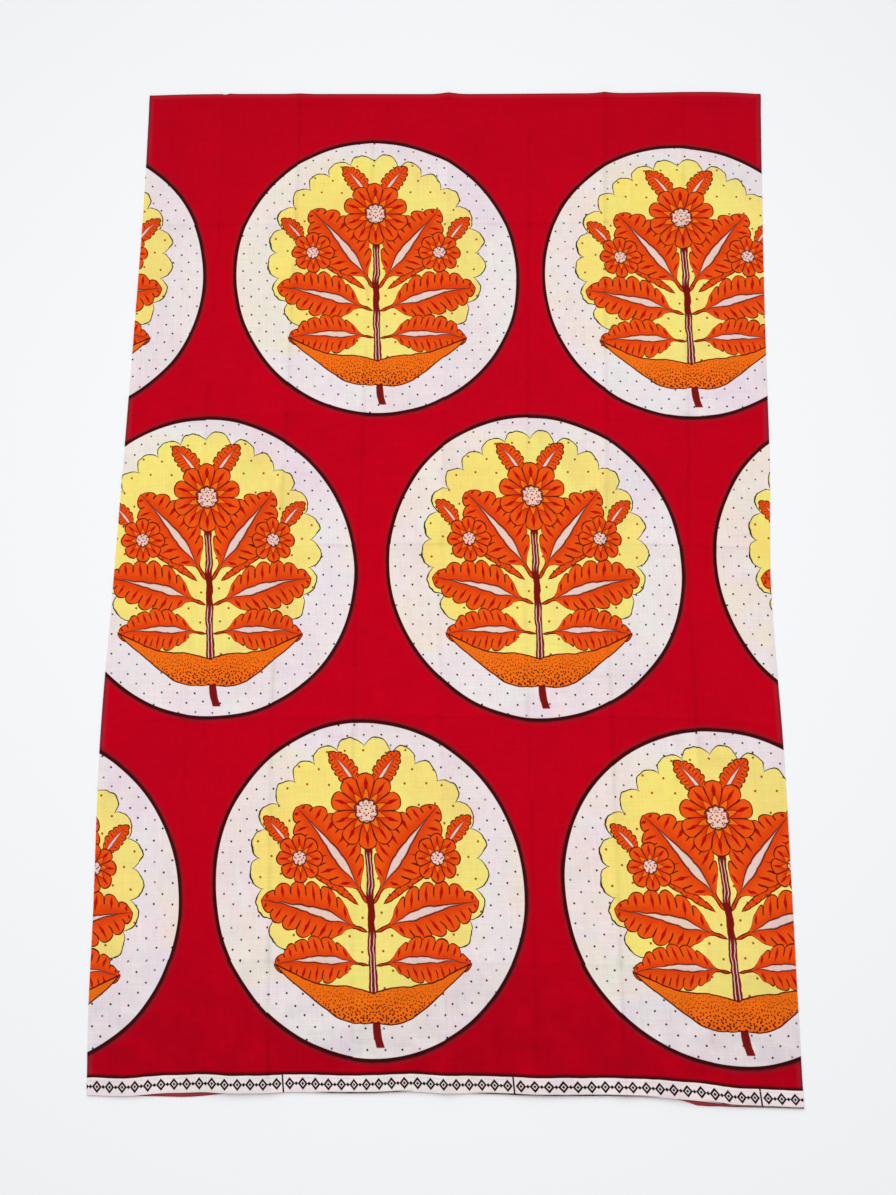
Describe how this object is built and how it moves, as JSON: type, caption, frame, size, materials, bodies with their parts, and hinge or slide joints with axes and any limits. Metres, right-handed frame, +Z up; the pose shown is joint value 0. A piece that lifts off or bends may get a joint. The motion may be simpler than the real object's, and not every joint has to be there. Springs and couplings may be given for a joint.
{
  "type": "wrapper cloth",
  "caption": "Printed cotton tube wrapper laid flat and doubled, with pressed side folds, soft press creases, narrow hems and a printed strip along its foot edge.",
  "frame": {"origin": "centre of the laid cloth's outline, on the surface that it lies on", "axes": "+X across the cloth to the right, +Y from the strip at the foot edge up to the top edge, +Z up out of the surface"},
  "size_m": [0.7683, 1.1768, 0.0084],
  "materials": {
    "printed_cotton": "plain-woven cotton, wax-style print, matt with a faint sheen",
    "turned_margin": "plain-woven cotton, margin turned in, matt",
    "sewing_thread": "spun thread, matt"
  },
  "bodies": {
    "root": {"front_panel": "printed_cotton", "back_panel": "printed_cotton", "top_hem_front": "turned_margin", "top_hem_back": "turned_margin", "foot_hem_front": "turned_margin", "foot_hem_back": "turned_margin"}
  },
  "joints": []
}
